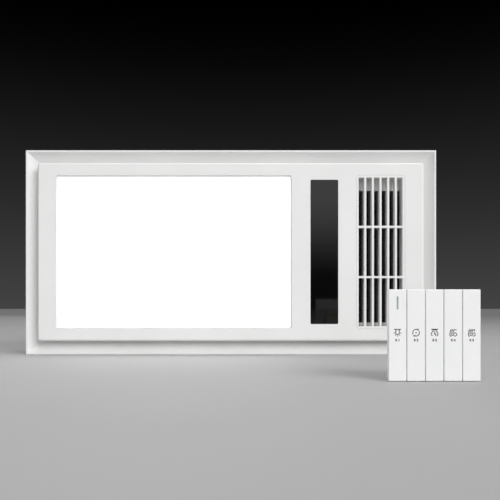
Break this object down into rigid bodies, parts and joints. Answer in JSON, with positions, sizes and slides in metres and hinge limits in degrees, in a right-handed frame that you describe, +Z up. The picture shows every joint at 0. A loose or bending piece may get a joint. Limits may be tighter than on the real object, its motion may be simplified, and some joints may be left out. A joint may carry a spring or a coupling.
{
  "type": "bathroom ceiling heater",
  "caption": "Flush ceiling unit with a lit panel, a dark display strip and a slotted warm-air grille over a blower housing, plus a separate square wall switch with rockers.",
  "frame": {"origin": "middle of the panel in the ceiling plane, on the back of the panel frame's flange", "axes": "+X right as seen from the front, +Z up as pictured, -Y out of the lit face; upright as pictured"},
  "size_m": [0.598, 0.49, 0.301],
  "materials": {
    "white_abs": "fine satin white",
    "switch_white": "smooth white",
    "opal": "opal, lit",
    "tray_white": "matt white",
    "circuit_board": "solder mask",
    "lamp_chip": "phosphor",
    "black_glass": "polished black",
    "foam": "closed-cell foam",
    "galvanised": "spangled zinc",
    "steel": "zinc plated",
    "grey_plastic": "matt grey",
    "black_plastic": "matt black",
    "heater_plastic": "light grey",
    "black_aluminium": "black coated",
    "brass_tag": "plain",
    "motor_enamel": "dark enamel",
    "device_plastic": "moulded",
    "rubber_black": "moulded",
    "lens": "translucent teal grey"
  },
  "bodies": {
    "unit": {"panel_frame": "white_abs", "face_plate": "white_abs", "air_grille": "white_abs", "switch_frame": "switch_white", "light_diffuser": "opal", "light_tray": "tray_white", "light_boards": "circuit_board", "display_board": "circuit_board", "control_board": "circuit_board", "light_chips": "lamp_chip", "display_glass": "black_glass", "duct_gasket": "foam", "mounting_frame": "galvanised", "housing": "galvanised", "partition_plate": "galvanised", "junction_cover": "galvanised", "plate_screws": "steel", "tray_screws": "steel", "housing_screws": "steel", "partition_screws": "steel", "spigot_screws": "steel", "diverter_screws": "steel", "volute_screws": "steel", "motor_screws": "steel", "junction_screws": "steel", "damper_rod": "steel", "rocker_rod": "steel", "outlet_duct": "grey_plastic", "volute": "black_plastic", "exhaust_spigot": "black_plastic", "run_capacitor": "black_plastic", "board_relays": "black_plastic", "heater_frame": "heater_plastic", "heater_tubes": "black_aluminium", "heater_fins": "black_aluminium", "heater_terminals": "brass_tag", "switch_terminals": "brass_tag", "motor_body": "motor_enamel", "diverter_motor": "motor_enamel", "thermal_cutout": "device_plastic", "terminal_block": "device_plastic", "light_driver": "device_plastic", "board_posts": "device_plastic", "switch_base": "device_plastic", "cable_grommet": "rubber_black"},
    "fan": {"impeller": "black_plastic", "motor_shaft": "steel", "shaft_nut": "steel"},
    "diverter": {"diverter_flap": "grey_plastic", "diverter_shaft": "steel"},
    "front_leaf": {"damper_leaf_front": "black_plastic"},
    "rear_leaf": {"damper_leaf_rear": "black_plastic"},
    "light_key": {"rocker_light": "switch_white", "indicator_lens": "lens"},
    "vent_key": {"rocker_vent": "switch_white"},
    "blow_key": {"rocker_blow": "switch_white"},
    "heat_low_key": {"rocker_heat_low": "switch_white"},
    "heat_high_key": {"rocker_heat_high": "switch_white"}
  },
  "joints": [
    {"name": "fan_spin", "type": "hinge", "parent": "unit", "child": "fan", "pos_m": [0.0499, 0.1, 0], "axis": [0, 1, 0], "continuous": true},
    {"name": "diverter_swing", "type": "hinge", "parent": "unit", "child": "diverter", "pos_m": [0.2159, 0.051, 0.11], "axis": [-1, 0, 0], "range_deg": [0, 90]},
    {"name": "front_leaf_swing", "type": "hinge", "parent": "unit", "child": "front_leaf", "pos_m": [0.2159, 0.102, 0.124], "axis": [-1, 0, 0], "range_deg": [0, 75]},
    {"name": "rear_leaf_swing", "type": "hinge", "parent": "unit", "child": "rear_leaf", "pos_m": [0.2159, 0.102, 0.124], "axis": [1, 0, 0], "range_deg": [0, 75]},
    {"name": "light_rock", "type": "hinge", "parent": "unit", "child": "light_key", "pos_m": [0.1646, -0.324, -0.106], "axis": [1, 0, 0], "range_deg": [-3.5, 3.5]},
    {"name": "vent_rock", "type": "hinge", "parent": "unit", "child": "vent_key", "pos_m": [0.1818, -0.324, -0.106], "axis": [1, 0, 0], "range_deg": [-3.5, 3.5]},
    {"name": "blow_rock", "type": "hinge", "parent": "unit", "child": "blow_key", "pos_m": [0.199, -0.324, -0.106], "axis": [1, 0, 0], "range_deg": [-3.5, 3.5]},
    {"name": "heat_low_rock", "type": "hinge", "parent": "unit", "child": "heat_low_key", "pos_m": [0.2162, -0.324, -0.106], "axis": [1, 0, 0], "range_deg": [-3.5, 3.5]},
    {"name": "heat_high_rock", "type": "hinge", "parent": "unit", "child": "heat_high_key", "pos_m": [0.2334, -0.324, -0.106], "axis": [1, 0, 0], "range_deg": [-3.5, 3.5]}
  ]
}
